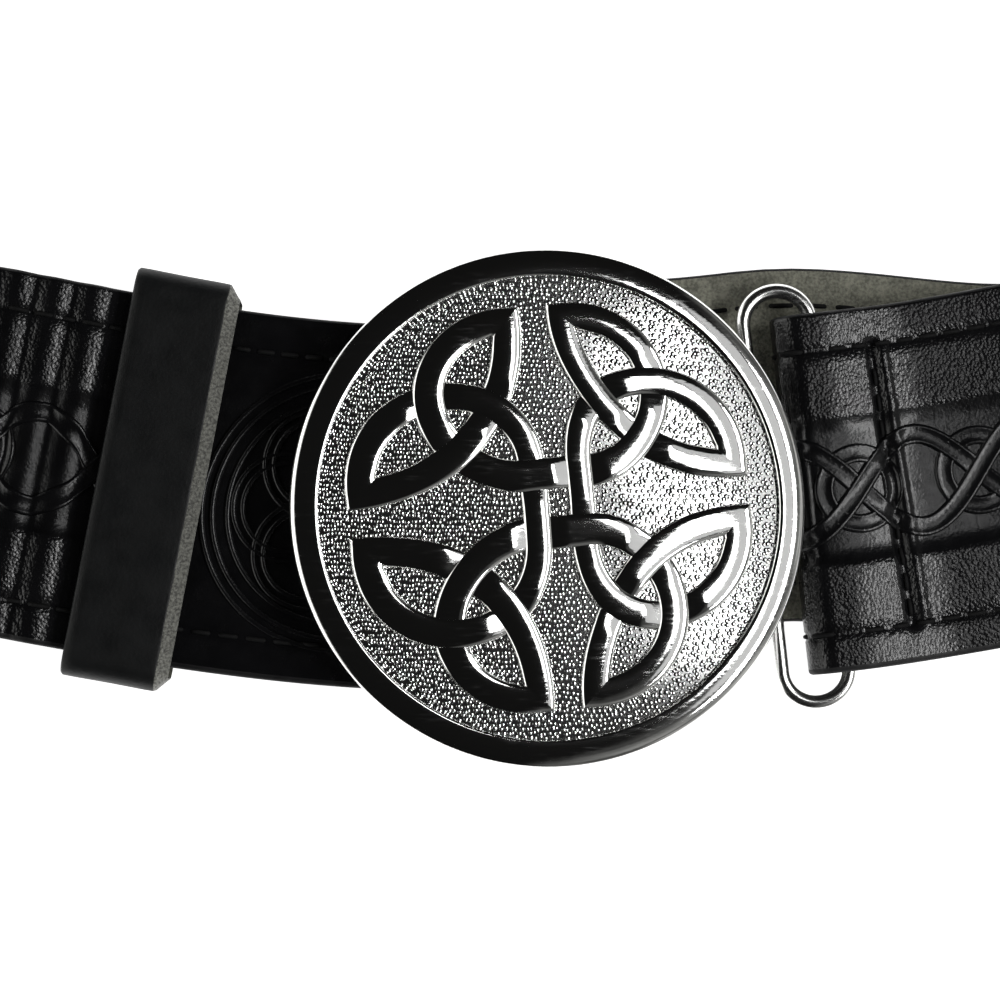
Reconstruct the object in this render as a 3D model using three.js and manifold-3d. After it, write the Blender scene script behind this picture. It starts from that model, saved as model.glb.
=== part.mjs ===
// A kilt belt, buckled and lying flattened on a surface with the buckle up.
// Millimetres. +X runs along the belt, +Z is up. The origin is on the surface under the buckle's centre.
import * as THREE from "three";
import { mergeVertices } from "three/addons/utils/BufferGeometryUtils.js";
import Module from "manifold-3d";

// Leather strap
const STRAP_WIDTH = 57;
const STRAP_LEATHER = 3;
const EDGE_BEVEL = 0.5;
const LAYER_GAP = 0.4;
const HALF_LENGTH = 205;
const LOOP_RADIUS = 17;
const TAIL_REACH = 110;
const UNDER_LAYER = 24;
const WRINKLE_HEIGHT = 0.7;
const WRINKLE_PITCH = 6;
const WRINKLES = 3;

// The belt's line seen from above
const END_RISE = 20;
const LEFT_BEND_START = 14;
const LEFT_BEND_LENGTH = 155;
const RIGHT_BEND_LENGTH = 117;
const RING_LEAN = THREE.MathUtils.degToRad(6.2);
const REAR_OFFSET = 9;
const REAR_SHIFT_START = -28;
const REAR_SHIFT_LENGTH = 48;
const REAR_RETURN_START = 34;
const REAR_RETURN_LENGTH = 52;

// Heights at which the upper layers start to climb to the end loops, as distances along the belt
const LEFT_CLIMB_START = 92;
const RIGHT_SETTLE_LENGTH = 17;

// Keeper
const KEEPER_WIDTH = 16.8;
const KEEPER_LEATHER = 2.4;
const KEEPER_SLACK = 1.5;
const KEEPER_CORNER = 3.2;
const KEEPER_PLACE = -61.6;
const KEEPER_TWIST = THREE.MathUtils.degToRad(-1.2);

// Ring
const RING_WIRE = 2.4;
const RING_SIDE_REACH = 5.6;
const RING_END_DEPTH = 5.2;
const RING_BREADTH = 13.2;
const RING_PLACE = 43.3;
const RING_RISE = 2.7;
const RING_SLACK = 2.1;
const WRAP_CLEARANCE = 0.3;

// Buckle plate
const PLATE_RADIUS = 40.3;
const PLATE_TILT = THREE.MathUtils.degToRad(4.5);
const PLATE_GROUND = 2;
const RIM_WIDTH = 4.6;
const RIM_HEIGHT = 3.3;
const PLATE_DOME = 1.5;
const PLATE_CLEARANCE = 0.4;

// Knotwork: a three-cornered knot in each quarter, joined by a weave in the middle
const KNOT_TURN = THREE.MathUtils.degToRad(5.3);
const KNOT_REACH = 31.5;
const KNOT_GAP = 2.1;
const WEAVE_OFFSET = 4.1;
const STRAND_WIDTH = 4.7;
const STRAND_HEIGHT = 1.1;
const STRAND_ROOT = 0.7;
const STRAND_DIP = 0.45;
const DIP_REACH = 5.2;
const LOOP_OFFSET = 0.95;
const KNOT_SHIFT_X = 1.35;
const KNOT_SHIFT_Y = 0.65;
const KNOT_SQUEEZE = 0.12;

// Bar, posts and hook behind the plate
const BAR_DIAMETER = 3;
const BAR_PLACE = -12.6;
const BAR_HEIGHT = 10.5;
const BAR_SIDE_GAP = 1.4;
const POST_DIAMETER = 3.6;
const HOOK_WIDTH = 14;
const HOOK_STEM = 1.9;
const HOOK_FOOT = 2;
const HOOK_LIP = 1.6;
const HOOK_CLEARANCE = 0.4;

// Fineness: steps round curves, and step lengths along the strap
const FOLD_STEPS = 10;
const END_LOOP_STEPS = 18;
const LYING_STEP = 8;
const CURVED_STEP = 6;
const WRINKLE_STEP = WRINKLE_PITCH / 4;
const WIRE_SIDES = 10;
const RING_END_STEPS = 12;
const RING_BAR_STEPS = 5;
const DISC_SIDES = 64;
const STRAND_STEPS = 14;
const POST_SIDES = 12;

// Shares of the strand's half width and height over one half of its section, from the middle outwards
const STRAND_SECTION = [
  { across: 0, rise: 1 },
  { across: 0.6, rise: 0.88 },
  { across: 1, rise: 0.35 },
];

// Shares of the rim's width, in from the outer edge, and of its height
const RIM_SECTION = [
  { inward: 0.2, rise: 0 },
  { inward: 0, rise: 0.34 },
  { inward: 0, rise: 0.62 },
  { inward: 0.14, rise: 0.88 },
  { inward: 0.42, rise: 1 },
  { inward: 0.8, rise: 0.97 },
  { inward: 0.96, rise: 0.8 },
];

// The strand's section over its crown, from one side to the other
const strandCrown = [
  ...STRAND_SECTION.slice(1).reverse(),
  ...STRAND_SECTION.map(({ across, rise }) => ({ across: -across, rise })),
];

const BLACK_LEATHER = new THREE.MeshStandardMaterial({ color: 0x121212, roughness: 0.45, metalness: 0 });
const SATIN_LEATHER = new THREE.MeshStandardMaterial({ color: 0x1a1b1c, roughness: 0.6, metalness: 0 });
const CHROME = new THREE.MeshStandardMaterial({ color: 0xd8dadc, roughness: 0.08, metalness: 1 });
const BRIGHT_WIRE = new THREE.MeshStandardMaterial({ color: 0xd2d3d4, roughness: 0.12, metalness: 1 });

const UP = new THREE.Vector3(0, 0, 1);

const wasm = await Module();
wasm.setup();

// Heights of each layer's middle above the surface, from the floor up
const rearMiddle = STRAP_LEATHER / 2;
const keeperFloor = STRAP_LEATHER + LAYER_GAP;
const tailMiddle = keeperFloor + KEEPER_LEATHER + LAYER_GAP + STRAP_LEATHER / 2;
const layerStep = STRAP_LEATHER + LAYER_GAP;
const leftMiddle = tailMiddle + layerStep;
const keeperRoof = leftMiddle + STRAP_LEATHER / 2 + LAYER_GAP;
const barFoldRadius = BAR_DIAMETER / 2 + WRAP_CLEARANCE + STRAP_LEATHER / 2;
const ringFoldRadius = RING_WIRE / 2 + WRAP_CLEARANCE + STRAP_LEATHER / 2;
const underMiddle = rearMiddle + layerStep;
const ringHeight = underMiddle + ringFoldRadius;
const rightMiddle = underMiddle + layerStep;
const loopTop = rearMiddle + 2 * LOOP_RADIUS;
const ringFoldTop = ringHeight + ringFoldRadius + STRAP_LEATHER / 2;
const plateLift = ringFoldTop + PLATE_CLEARANCE + PLATE_RADIUS * Math.sin(PLATE_TILT);

// 0 before start, 1 after start + length, and an even S between them
function ease(value, start, length) {
  return THREE.MathUtils.smoothstep(value, start, start + length);
}

// A cubic from one height and slope to another over a span
function cubic(share, span, low, lowSlope, high, highSlope) {
  const s2 = share * share;
  const s3 = s2 * share;
  const lowPart = (2 * s3 - 3 * s2 + 1) * low + (s3 - 2 * s2 + share) * span * lowSlope;
  const highPart = (3 * s2 - 2 * s3) * high + (s3 - s2) * span * highSlope;
  return lowPart + highPart;
}

// Sideways place of the upper layers at a place along the belt
function frontLine(x) {
  if (x <= LEFT_BEND_START) return END_RISE * ease(-x, LEFT_BEND_START, LEFT_BEND_LENGTH);
  const lean = Math.tan(RING_LEAN);
  if (x <= RING_PLACE) {
    const span = RING_PLACE - LEFT_BEND_START;
    return cubic((x - LEFT_BEND_START) / span, span, 0, 0, RING_RISE, lean);
  }
  const share = Math.min(1, (x - RING_PLACE) / RIGHT_BEND_LENGTH);
  return cubic(share, RIGHT_BEND_LENGTH, RING_RISE, lean, END_RISE, 0);
}

// The layer on the surface runs a little higher up behind the buckle's right half
function rearLine(x) {
  const shift = ease(x, REAR_SHIFT_START, REAR_SHIFT_LENGTH) - ease(x, REAR_RETURN_START, REAR_RETURN_LENGTH);
  return frontLine(x) + REAR_OFFSET * shift;
}

function slopeOf(curve, x) {
  const reach = 0.05;
  return (curve(x + reach) - curve(x - reach)) / (2 * reach);
}

const keeperHeading = Math.atan(slopeOf(frontLine, KEEPER_PLACE)) + KEEPER_TWIST;
const keeperHalf = (KEEPER_WIDTH / 2) * Math.cos(keeperHeading);
const keeperLeft = KEEPER_PLACE - keeperHalf;
const keeperRight = KEEPER_PLACE + keeperHalf;

function wrinkle(x) {
  const first = keeperLeft - WRINKLE_PITCH / 2;
  const share = (first - x) / WRINKLE_PITCH;
  if (share < 0 || share > WRINKLES) return 0;
  return WRINKLE_HEIGHT * Math.sin(Math.PI * share) ** 2;
}

function leftHeight(x) {
  const settled = ease(BAR_PLACE - x, 0, BAR_PLACE - keeperRight - LAYER_GAP);
  const level = THREE.MathUtils.lerp(BAR_HEIGHT + barFoldRadius, leftMiddle, settled);
  const climb = ease(-x, LEFT_CLIMB_START, HALF_LENGTH - LEFT_CLIMB_START);
  return THREE.MathUtils.lerp(level, loopTop, climb) + wrinkle(x);
}

function tailHeight(x) {
  const settled = ease(BAR_PLACE - x, 0, BAR_PLACE - keeperRight - LAYER_GAP);
  return THREE.MathUtils.lerp(BAR_HEIGHT - barFoldRadius, tailMiddle, settled);
}

function rightHeight(x) {
  const settled = ease(x - RING_PLACE, RING_SLACK, RIGHT_SETTLE_LENGTH);
  const level = THREE.MathUtils.lerp(ringHeight + ringFoldRadius, rightMiddle, settled);
  const start = RING_PLACE + UNDER_LAYER;
  return THREE.MathUtils.lerp(level, loopTop, ease(x, start, HALF_LENGTH - start));
}

// One place along the strap: its middle, the way it runs, and the way it faces sideways
function station(middle, along, heading) {
  const across = new THREE.Vector3(-Math.sin(heading), Math.cos(heading), 0);
  return { middle, along, across, facing: new THREE.Vector3().crossVectors(along, across).normalize() };
}

// Stations over a lying stretch, at equal steps from one place along the belt to another
function lyingStretch(line, height, from, to, step) {
  const count = Math.max(1, Math.round(Math.abs(to - from) / step));
  const direction = Math.sign(to - from);
  return Array.from({ length: count + 1 }, (_, i) => {
    const x = THREE.MathUtils.lerp(from, to, i / count);
    const slope = slopeOf(line, x);
    const along = new THREE.Vector3(1, slope, slopeOf(height, x)).normalize().multiplyScalar(direction);
    return station(new THREE.Vector3(x, line(x), height(x)), along, Math.atan(slope));
  });
}

// Stations round half a turn about a level line, from one angle on; 0 runs along the heading and 90 degrees runs up
function halfTurn(centre, radius, heading, startAngle, steps) {
  const ahead = new THREE.Vector3(Math.cos(heading), Math.sin(heading), 0);
  return Array.from({ length: steps + 1 }, (_, i) => {
    const angle = startAngle + (Math.PI * i) / steps;
    const along = ahead.clone().multiplyScalar(Math.cos(angle)).addScaledVector(UP, Math.sin(angle));
    const middle = centre.clone();
    middle.addScaledVector(ahead, radius * Math.sin(angle));
    middle.addScaledVector(UP, -radius * Math.cos(angle));
    return station(middle, along, heading);
  });
}

// A closed surface through sections of equally many points; open ends are capped, a ring joins up
function skin(sections, closed = false) {
  const sides = sections[0].length;
  const positions = sections.flat().flatMap((point) => [point.x, point.y, point.z]);
  const faces = [];
  const rings = closed ? sections.length : sections.length - 1;
  for (let i = 0; i < rings; i++) {
    const here = i * sides;
    const next = ((i + 1) % sections.length) * sides;
    for (let j = 0; j < sides; j++) {
      const k = (j + 1) % sides;
      faces.push(here + j, here + k, next + k);
      faces.push(here + j, next + k, next + j);
    }
  }
  if (!closed) {
    const last = (sections.length - 1) * sides;
    for (let j = 1; j < sides - 1; j++) {
      faces.push(0, j + 1, j);
      faces.push(last, last + j, last + j + 1);
    }
  }
  const geometry = new THREE.BufferGeometry();
  geometry.setAttribute("position", new THREE.Float32BufferAttribute(positions, 3));
  geometry.setIndex(faces);
  return geometry;
}

// The strap's section: a flat band whose four edges are bevelled
function strapSection({ middle, across, facing }) {
  const half = STRAP_WIDTH / 2;
  const thick = STRAP_LEATHER / 2;
  const corners = [
    [half - EDGE_BEVEL, -thick],
    [half, EDGE_BEVEL - thick],
    [half, thick - EDGE_BEVEL],
    [half - EDGE_BEVEL, thick],
  ];
  const mirrored = corners.map(([side, lift]) => [-side, lift]).reverse();
  return [...corners, ...mirrored].map(([side, lift]) =>
    middle.clone().addScaledVector(across, side).addScaledVector(facing, lift),
  );
}

function strapGeometry() {
  const ringCentre = new THREE.Vector3(RING_PLACE, RING_RISE, ringHeight);
  const barCentre = new THREE.Vector3(BAR_PLACE, frontLine(BAR_PLACE), BAR_HEIGHT);
  const leftCentre = new THREE.Vector3(-HALF_LENGTH, END_RISE, rearMiddle + LOOP_RADIUS);
  const rightCentre = new THREE.Vector3(HALF_LENGTH, END_RISE, rearMiddle + LOOP_RADIUS);
  const wrinkleEnd = keeperLeft - WRINKLE_PITCH * (WRINKLES + 1);
  const floor = () => rearMiddle;
  const under = () => underMiddle;
  const stretches = [
    lyingStretch(frontLine, tailHeight, -TAIL_REACH, BAR_PLACE, CURVED_STEP),
    halfTurn(barCentre, barFoldRadius, 0, 0, FOLD_STEPS),
    lyingStretch(frontLine, leftHeight, BAR_PLACE, keeperLeft, CURVED_STEP),
    lyingStretch(frontLine, leftHeight, keeperLeft, wrinkleEnd, WRINKLE_STEP),
    lyingStretch(frontLine, leftHeight, wrinkleEnd, -HALF_LENGTH, LYING_STEP),
    halfTurn(leftCentre, LOOP_RADIUS, 0, Math.PI, END_LOOP_STEPS),
    lyingStretch(rearLine, floor, -HALF_LENGTH, HALF_LENGTH, LYING_STEP),
    halfTurn(rightCentre, LOOP_RADIUS, 0, 0, END_LOOP_STEPS),
    lyingStretch(frontLine, rightHeight, HALF_LENGTH, RING_PLACE, CURVED_STEP),
    halfTurn(ringCentre, ringFoldRadius, RING_LEAN, Math.PI, FOLD_STEPS),
    lyingStretch(frontLine, under, RING_PLACE, RING_PLACE + UNDER_LAYER, LYING_STEP),
  ];
  const stations = stretches.flatMap((stretch, i) => (i ? stretch.slice(1) : stretch));
  return skin(stations.map(strapSection));
}

function roundedRectangle(path, left, bottom, right, top, radius) {
  path.moveTo(left + radius, bottom);
  path.lineTo(right - radius, bottom);
  path.absarc(right - radius, bottom + radius, radius, -Math.PI / 2, 0);
  path.lineTo(right, top - radius);
  path.absarc(right - radius, top - radius, radius, 0, Math.PI / 2);
  path.lineTo(left + radius, top);
  path.absarc(left + radius, top - radius, radius, Math.PI / 2, Math.PI);
  path.lineTo(left, bottom + radius);
  path.absarc(left + radius, bottom + radius, radius, Math.PI, 1.5 * Math.PI);
  return path;
}

// The keeper: a leather band round the strap and its folded tail
function keeperGeometry() {
  const inner = STRAP_WIDTH / 2 + KEEPER_SLACK;
  const outer = inner + KEEPER_LEATHER;
  const outline = roundedRectangle(
    new THREE.Shape(), -outer, keeperFloor, outer, keeperRoof + KEEPER_LEATHER, KEEPER_CORNER,
  );
  const innerCorner = KEEPER_CORNER - KEEPER_LEATHER;
  const hole = roundedRectangle(
    new THREE.Path(), -inner, keeperFloor + KEEPER_LEATHER, inner, keeperRoof, innerCorner,
  );
  outline.holes.push(hole);
  return new THREE.ExtrudeGeometry(outline, { depth: KEEPER_WIDTH, bevelEnabled: false, curveSegments: 5 });
}

// Middle line of the ring, in its own plane: two straight bars joined by rounded ends
function ringLine() {
  const round = (RING_BREADTH - RING_WIRE) / 2;
  const straight = STRAP_WIDTH / 2 + RING_SIDE_REACH - RING_WIRE / 2 - RING_END_DEPTH;
  const half = [];
  for (let i = 0; i <= RING_END_STEPS; i++) {
    const angle = (Math.PI * i) / RING_END_STEPS;
    const x = round * Math.cos(angle);
    const y = straight + RING_END_DEPTH * Math.sin(angle);
    half.push({ x, y, out: new THREE.Vector2(RING_END_DEPTH * Math.cos(angle), round * Math.sin(angle)).normalize() });
  }
  for (let i = 1; i < RING_BAR_STEPS; i++) {
    half.push({ x: -round, y: straight * (1 - (2 * i) / RING_BAR_STEPS), out: new THREE.Vector2(-1, 0) });
  }
  return [...half, ...half.map(({ x, y, out }) => ({ x: -x, y: -y, out: out.clone().negate() }))];
}

function ringGeometry() {
  const sections = ringLine().map(({ x, y, out }) =>
    Array.from({ length: WIRE_SIDES }, (_, i) => {
      const angle = (2 * Math.PI * i) / WIRE_SIDES;
      const reach = (RING_WIRE / 2) * Math.cos(angle);
      return new THREE.Vector3(x + out.x * reach, y + out.y * reach, (-RING_WIRE / 2) * Math.sin(angle));
    }),
  );
  return skin(sections, true);
}

function solidOf(geometry) {
  const bare = geometry.clone();
  bare.deleteAttribute("normal");
  bare.deleteAttribute("uv");
  const merged = mergeVertices(bare, 1e-4);
  return new wasm.Manifold(
    new wasm.Mesh({
      numProp: 3,
      vertProperties: new Float32Array(merged.attributes.position.array),
      triVerts: new Uint32Array(merged.index.array),
    }),
  );
}

function geometryOf(solid) {
  const mesh = solid.getMesh();
  const geometry = new THREE.BufferGeometry();
  geometry.setAttribute("position", new THREE.BufferAttribute(mesh.vertProperties, 3));
  geometry.setIndex(new THREE.BufferAttribute(mesh.triVerts, 1));
  return geometry;
}

// How far the cast plate swells at a distance from its middle
function dome(x, y) {
  return PLATE_DOME * Math.max(0, 1 - (x * x + y * y) / (PLATE_RADIUS * PLATE_RADIUS));
}

function domed(geometry) {
  const place = geometry.attributes.position;
  for (let i = 0; i < place.count; i++) place.setZ(i, place.getZ(i) + dome(place.getX(i), place.getY(i)));
  return geometry;
}

// The plate's dished disc with its rounded rim; its underside lies at height 0
function discGeometry() {
  const rim = RIM_SECTION.map(({ inward, rise }) =>
    new THREE.Vector2(PLATE_RADIUS - inward * RIM_WIDTH, rise * RIM_HEIGHT),
  );
  const ground = PLATE_RADIUS - RIM_WIDTH;
  const profile = [
    new THREE.Vector2(0, 0),
    new THREE.Vector2(ground / 2, 0),
    ...rim,
    new THREE.Vector2(ground, PLATE_GROUND),
    new THREE.Vector2((2 * ground) / 3, PLATE_GROUND),
    new THREE.Vector2(ground / 3, PLATE_GROUND),
    new THREE.Vector2(0, PLATE_GROUND),
  ];
  return domed(new THREE.LatheGeometry(profile, DISC_SIDES).rotateX(Math.PI / 2));
}

const strandLine = KNOT_GAP + STRAND_WIDTH / 2;
const strandReach = KNOT_REACH - STRAND_WIDTH / 2;
const quarterRadius = strandReach - strandLine;
const loopRadius = (strandReach - WEAVE_OFFSET) / 2;
const loopCentreX = strandLine + LOOP_OFFSET;
const loopCentreY = WEAVE_OFFSET + loopRadius;

// Points on a circle's arc, each with the direction of travel
function arcPoints(centreX, centreY, radius, from, to, steps) {
  const turn = Math.sign(to - from);
  return Array.from({ length: steps + 1 }, (_, i) => {
    const angle = THREE.MathUtils.lerp(from, to, i / steps);
    return {
      x: centreX + radius * Math.cos(angle),
      y: centreY + radius * Math.sin(angle),
      goX: -turn * Math.sin(angle),
      goY: turn * Math.cos(angle),
    };
  });
}

// From the upper left corner round one loop, through the weave, round the next loop to the upper right corner
function weavingStrand() {
  const half = Math.PI / 2;
  const corner = STRAND_WIDTH / 2;
  const firstLoop = arcPoints(-loopCentreX, loopCentreY, loopRadius, half, 3 * half, STRAND_STEPS);
  const secondLoop = arcPoints(loopCentreX, loopCentreY, loopRadius, -half, half, STRAND_STEPS);
  const level = (x) => ({ x, y: WEAVE_OFFSET, goX: 1, goY: 0 });
  const weave = [-WEAVE_OFFSET, -WEAVE_OFFSET / 2, 0, WEAVE_OFFSET / 2, WEAVE_OFFSET].map(level);
  const start = { x: -strandLine + corner, y: strandReach, goX: -1, goY: 0 };
  const end = { x: strandLine - corner, y: strandReach, goX: -1, goY: 0 };
  return [start, ...firstLoop, ...weave, ...secondLoop, end];
}

// The quarter circle that joins the two outer corners of the upper left knot
function quarterStrand() {
  const corner = STRAND_WIDTH / 2;
  const arc = arcPoints(-strandReach, strandReach, quarterRadius, 0, -Math.PI / 2, STRAND_STEPS);
  const start = { x: -strandLine, y: strandReach + corner, goX: 0, goY: -1 };
  const end = { x: -strandReach - corner, y: strandLine, goX: -1, goY: 0 };
  return [start, ...arc, end];
}

// Where two circles of the upper left knot cross, on the side away from the corner
function crossing(first, second) {
  const gapX = second.x - first.x;
  const gapY = second.y - first.y;
  const gap = Math.hypot(gapX, gapY);
  const along = (first.radius ** 2 - second.radius ** 2 + gap ** 2) / (2 * gap);
  const aside = Math.sqrt(first.radius ** 2 - along ** 2);
  const x = first.x + (along * gapX - aside * gapY) / gap;
  const y = first.y + (along * gapY + aside * gapX) / gap;
  return { x, y };
}

const leadingLoop = { x: -loopCentreX, y: loopCentreY, radius: loopRadius };
const trailingLoop = { x: -loopCentreY, y: loopCentreX, radius: loopRadius };
const quarterCircle = { x: -strandReach, y: strandReach, radius: quarterRadius };
const underQuarter = crossing(leadingLoop, quarterCircle);
const outerCrossing = crossing(trailingLoop, leadingLoop);
const underTrailing = crossing(quarterCircle, trailingLoop);

// Crossings at which each strand passes under its neighbour
const weavingDips = [
  underQuarter,
  { x: WEAVE_OFFSET, y: WEAVE_OFFSET },
  { x: -outerCrossing.x, y: outerCrossing.y },
];
const quarterDips = [underTrailing];

function dipAt(point, dips) {
  const depths = dips.map((dip) => {
    const near = Math.hypot(point.x - dip.x, point.y - dip.y) / DIP_REACH;
    return near < 1 ? (1 - near * near) ** 2 : 0;
  });
  return STRAND_DIP * Math.max(...depths);
}

// Turns the pattern on the plate and draws its middle a little aside, as the cast one is
function onPlate(x, y, quarterTurn) {
  const turnedX = x * Math.cos(quarterTurn) - y * Math.sin(quarterTurn);
  const turnedY = x * Math.sin(quarterTurn) + y * Math.cos(quarterTurn);
  const near = Math.max(0, 1 - (x * x + y * y) / (KNOT_REACH * KNOT_REACH)) ** 2;
  const shiftedX = turnedX * (1 - KNOT_SQUEEZE * near) + KNOT_SHIFT_X * near;
  const shiftedY = turnedY * (1 + KNOT_SQUEEZE * near) + KNOT_SHIFT_Y * near;
  return new THREE.Vector2(shiftedX, shiftedY).rotateAround(new THREE.Vector2(), KNOT_TURN);
}

function strandGeometry(line, dips, quarterTurn) {
  const halfWidth = STRAND_WIDTH / 2;
  const sections = line.map((point) => {
    const height = STRAND_HEIGHT - dipAt(point, dips);
    const place = (across, z) => {
      const x = point.x - point.goY * across * halfWidth;
      const y = point.y + point.goX * across * halfWidth;
      const spot = onPlate(x, y, quarterTurn);
      return new THREE.Vector3(spot.x, spot.y, z);
    };
    const top = strandCrown.map(({ across, rise }) => place(across, PLATE_GROUND + rise * height));
    const low = PLATE_GROUND - STRAND_ROOT;
    return [place(-1, low), place(1, low), ...top];
  });
  return domed(skin(sections));
}

// Height of the tilted plate's underside over a place on the surface
function plateUnderside(x, y) {
  return plateLift - x * Math.tan(PLATE_TILT) + dome(x, y);
}

function postGeometry(side) {
  const top = plateUnderside(BAR_PLACE, barEnd) + PLATE_GROUND / 2;
  const length = top - BAR_HEIGHT;
  const post = new THREE.CylinderGeometry(POST_DIAMETER / 2, POST_DIAMETER / 2, length, POST_SIDES);
  return post.rotateX(Math.PI / 2).translate(BAR_PLACE, side * barEnd, BAR_HEIGHT + length / 2);
}

// The strap's bar: a rod level with the surface whose ends are balls inside the posts' feet
const barEnd = STRAP_WIDTH / 2 + BAR_SIDE_GAP + POST_DIAMETER / 2;

function barGeometry() {
  const bar = new THREE.CylinderGeometry(BAR_DIAMETER / 2, BAR_DIAMETER / 2, 2 * barEnd, POST_SIDES);
  return bar.translate(BAR_PLACE, 0, BAR_HEIGHT);
}

function footGeometry(side) {
  const foot = new THREE.SphereGeometry(POST_DIAMETER / 2, POST_SIDES, POST_SIDES / 2);
  return foot.translate(BAR_PLACE, side * barEnd, BAR_HEIGHT);
}

const ringBarGap = RING_BREADTH - RING_WIRE;

// A place on the ring's middle line, some way back from the bar that lies in the strap's fold
function ringSpot(back) {
  const ahead = RING_SLACK - back;
  const x = RING_PLACE + ahead * Math.cos(RING_LEAN);
  const y = RING_RISE + ahead * Math.sin(RING_LEAN);
  return new THREE.Vector3(x, y, ringHeight);
}

// The hook: a stem down through the ring, a foot under the ring's near bar and a short lip
function hookGeometry() {
  const seat = RING_WIRE / 2 + HOOK_CLEARANCE;
  const stemLeft = seat;
  const stemRight = seat + HOOK_STEM;
  const lipRight = -seat;
  const lipLeft = -seat - HOOK_LIP;
  const footTop = -seat;
  const footBottom = footTop - HOOK_FOOT;
  const spot = ringSpot(ringBarGap);
  const top = plateUnderside(spot.x, spot.y) + PLATE_GROUND / 2 - ringHeight;
  const outline = new THREE.Shape([
    new THREE.Vector2(lipLeft, footBottom),
    new THREE.Vector2(stemRight, footBottom),
    new THREE.Vector2(stemRight, top),
    new THREE.Vector2(stemLeft, top),
    new THREE.Vector2(stemLeft, footTop),
    new THREE.Vector2(lipRight, footTop),
    new THREE.Vector2(lipRight, RING_WIRE / 4),
    new THREE.Vector2(lipLeft, RING_WIRE / 4),
  ]);
  const hook = new THREE.ExtrudeGeometry(outline, { depth: HOOK_WIDTH, bevelEnabled: false });
  hook.translate(0, 0, -HOOK_WIDTH / 2).rotateX(Math.PI / 2).rotateZ(RING_LEAN);
  return hook.translate(spot.x, spot.y, spot.z);
}

// The whole cast plate: disc, raised knotwork, posts, bar and hook in one piece of metal
function plateGeometry() {
  let face = solidOf(discGeometry());
  for (let quarter = 0; quarter < 4; quarter++) {
    const quarterTurn = (-quarter * Math.PI) / 2;
    face = face.add(solidOf(strandGeometry(weavingStrand(), weavingDips, quarterTurn)));
    face = face.add(solidOf(strandGeometry(quarterStrand(), quarterDips, quarterTurn)));
  }
  const placed = geometryOf(face).rotateY(PLATE_TILT).translate(0, 0, plateLift);
  let whole = solidOf(placed).add(solidOf(barGeometry())).add(solidOf(hookGeometry()));
  for (const side of [-1, 1]) whole = whole.add(solidOf(postGeometry(side))).add(solidOf(footGeometry(side)));
  return geometryOf(whole);
}

function named(name, geometry, material) {
  const mesh = new THREE.Mesh(geometry, material);
  mesh.name = name;
  return mesh;
}

const strap = named("strap", strapGeometry(), BLACK_LEATHER);

const keeper = named("keeper", keeperGeometry(), SATIN_LEATHER);
const keeperAhead = new THREE.Vector3(Math.cos(keeperHeading), Math.sin(keeperHeading), 0);
const keeperAcross = new THREE.Vector3(-Math.sin(keeperHeading), Math.cos(keeperHeading), 0);
keeper.setRotationFromMatrix(new THREE.Matrix4().makeBasis(keeperAcross, UP, keeperAhead));
keeper.position.set(KEEPER_PLACE, frontLine(KEEPER_PLACE), 0).addScaledVector(keeperAhead, -KEEPER_WIDTH / 2);

const ring = named("ring", ringGeometry(), BRIGHT_WIRE);
ring.rotation.z = RING_LEAN;
ring.position.copy(ringSpot(ringBarGap / 2));

const buckle = named("buckle_plate", plateGeometry(), CHROME);

const belt = new THREE.Group();
belt.add(strap, keeper, ring, buckle);

export default belt;
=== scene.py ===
"""A buckled kilt belt, lying flattened with its round knotwork buckle up."""

import math
from collections import namedtuple

import bmesh
import bpy
import numpy as np
from mathutils import Matrix, Vector, noise


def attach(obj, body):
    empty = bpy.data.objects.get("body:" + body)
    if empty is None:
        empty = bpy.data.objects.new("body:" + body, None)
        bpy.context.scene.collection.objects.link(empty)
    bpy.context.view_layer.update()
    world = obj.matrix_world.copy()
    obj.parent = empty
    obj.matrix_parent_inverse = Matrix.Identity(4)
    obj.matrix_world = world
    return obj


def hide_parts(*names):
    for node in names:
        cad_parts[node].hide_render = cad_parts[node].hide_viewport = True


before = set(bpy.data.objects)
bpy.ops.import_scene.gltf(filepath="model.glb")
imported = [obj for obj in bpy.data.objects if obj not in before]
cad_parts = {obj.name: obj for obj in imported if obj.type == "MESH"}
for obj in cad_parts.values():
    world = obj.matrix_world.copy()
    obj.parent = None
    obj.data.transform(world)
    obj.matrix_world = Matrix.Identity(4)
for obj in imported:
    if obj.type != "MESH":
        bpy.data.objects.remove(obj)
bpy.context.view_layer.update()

bl_info = {
    "name": "Kilt Belt",
    "version": (1, 0, 0),
    "blender": (4, 5, 0),
    "location": "3D View > Sidebar > Kilt Belt",
    "description": "Builds a buckled kilt belt with a round knotwork buckle",
    "category": "Add Mesh",
}

# All sizes below are in millimetres, and a piece is scaled to metres when its mesh is made
MM = 0.001

# Leather strap
STRAP_WIDTH = 57
STRAP_LEATHER = 3
LAYER_GAP = 0.4
HALF_LENGTH = 205
LOOP_RADIUS = 17
TAIL_REACH = 110
UNDER_LAYER = 24
WRINKLE_HEIGHT = 0.7
WRINKLE_PITCH = 6
WRINKLES = 3

# The belt's line seen from above
END_RISE = 20
LEFT_BEND_START = 14
LEFT_BEND_LENGTH = 155
RIGHT_BEND_LENGTH = 117
RING_LEAN = math.radians(6.2)
REAR_OFFSET = 9
REAR_SHIFT_START = -28
REAR_SHIFT_LENGTH = 48
REAR_RETURN_START = 34
REAR_RETURN_LENGTH = 52
LEFT_CLIMB_START = 92
RIGHT_SETTLE_LENGTH = 17

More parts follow.
